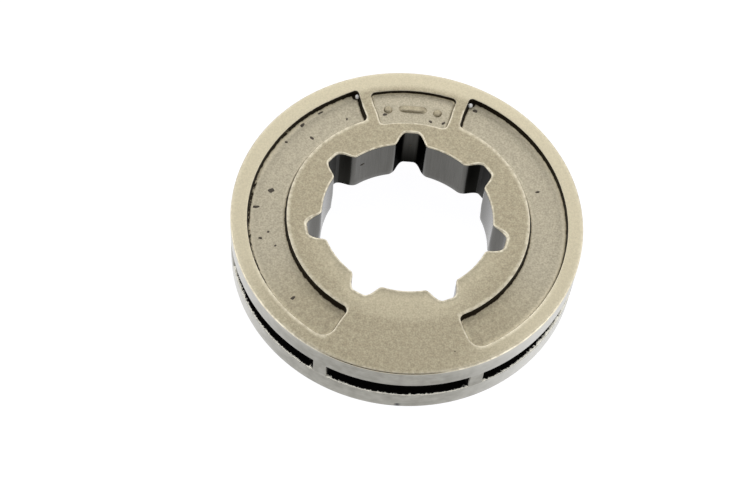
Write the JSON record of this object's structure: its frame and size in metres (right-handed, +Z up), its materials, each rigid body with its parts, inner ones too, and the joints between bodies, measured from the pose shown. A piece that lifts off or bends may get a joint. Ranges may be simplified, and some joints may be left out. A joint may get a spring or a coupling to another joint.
{
  "type": "chainsaw rim sprocket",
  "caption": "Flat steel ring with a splined bore, arc recesses in its upper face and a slotted rim whose pockets between teeth drive a saw chain.",
  "frame": {"origin": "on the bore axis, at the lower face that the ring lies on", "axes": "+Z up along the bore axis, out of the recessed upper face; +Y from the axis towards the small pocket of the upper face"},
  "size_m": [0.035, 0.035, 0.007],
  "materials": {
    "sintered_steel": "matte, blasted"
  },
  "bodies": {
    "root": {"rim_sprocket": "sintered_steel"}
  },
  "joints": []
}
